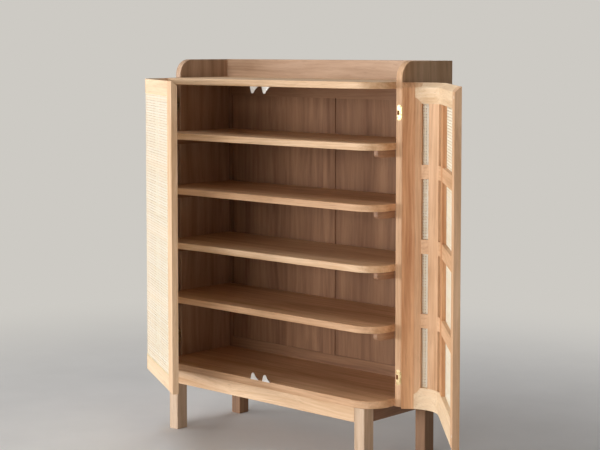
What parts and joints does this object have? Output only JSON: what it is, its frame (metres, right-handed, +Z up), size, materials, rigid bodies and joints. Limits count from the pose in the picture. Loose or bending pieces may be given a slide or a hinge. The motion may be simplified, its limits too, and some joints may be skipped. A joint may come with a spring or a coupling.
{
  "type": "shoe cabinet",
  "caption": "Wooden shoe cabinet on legs, with open shelves behind hinged rattan doors that wrap its rounded front corners, and a low gallery around the top.",
  "frame": {"origin": "on the floor, under the middle of the cabinet's footprint with the doors closed", "axes": "+X to the cabinet's right seen from its front, +Y from the doors to the back, +Z up"},
  "size_m": [1.3688, 0.5686, 1.18],
  "materials": {
    "teak": "oiled, satin",
    "rattan": "natural woven cane, matte",
    "bead": "natural cane, satin",
    "brass": "satin",
    "nickel": "bright nickel plate"
  },
  "bodies": {
    "cabinet": {"apron_back": "teak", "apron_front": "teak", "apron_left": "teak", "apron_right": "teak", "back_bottom_rail": "teak", "back_muntin": "teak", "back_panel_left": "teak", "back_panel_right": "teak", "back_stiles": "teak", "back_top_rail": "teak", "bottom_board": "teak", "cabinet_hinge_leaves": "brass", "cabinet_hinge_screws": "brass", "catch_plates": "nickel", "catch_screws": "nickel", "cleat_screws": "nickel", "gallery_board": "teak", "hinge_pins": "brass", "leg_back_left": "teak", "leg_back_right": "teak", "leg_dowels": "teak", "leg_front_left": "teak", "leg_front_right": "teak", "shelf_1": "teak", "shelf_2": "teak", "shelf_3": "teak", "shelf_4": "teak", "shelf_cleats": "teak", "side_panel_left": "teak", "side_panel_right": "teak", "top_board": "teak"},
    "door_left": {"door_left_bead": "bead", "door_left_corner_bottom_rail": "teak", "door_left_corner_post": "teak", "door_left_corner_top_rail": "teak", "door_left_front_bottom_rail": "teak", "door_left_front_top_rail": "teak", "door_left_hinge_leaves": "brass", "door_left_hinge_screws": "brass", "door_left_hinge_stile": "teak", "door_left_inner_stile": "teak", "door_left_magnets": "nickel", "door_left_meeting_stile": "teak", "door_left_mid_rails": "teak", "door_left_rattan": "rattan"},
    "door_right": {"door_right_bead": "bead", "door_right_corner_bottom_rail": "teak", "door_right_corner_post": "teak", "door_right_corner_top_rail": "teak", "door_right_front_bottom_rail": "teak", "door_right_front_top_rail": "teak", "door_right_hinge_leaves": "brass", "door_right_hinge_screws": "brass", "door_right_hinge_stile": "teak", "door_right_inner_stile": "teak", "door_right_magnets": "nickel", "door_right_meeting_stile": "teak", "door_right_mid_rails": "teak", "door_right_rattan": "rattan"}
  },
  "joints": [
    {"name": "door_left_hinge", "type": "hinge", "parent": "cabinet", "child": "door_left", "pos_m": [-0.47, -0.058, 0.657], "axis": [0, 0, -1], "range_deg": [-30, 135]},
    {"name": "door_right_hinge", "type": "hinge", "parent": "cabinet", "child": "door_right", "pos_m": [0.47, -0.058, 0.657], "axis": [0, 0, 1], "range_deg": [-133, 32]}
  ]
}
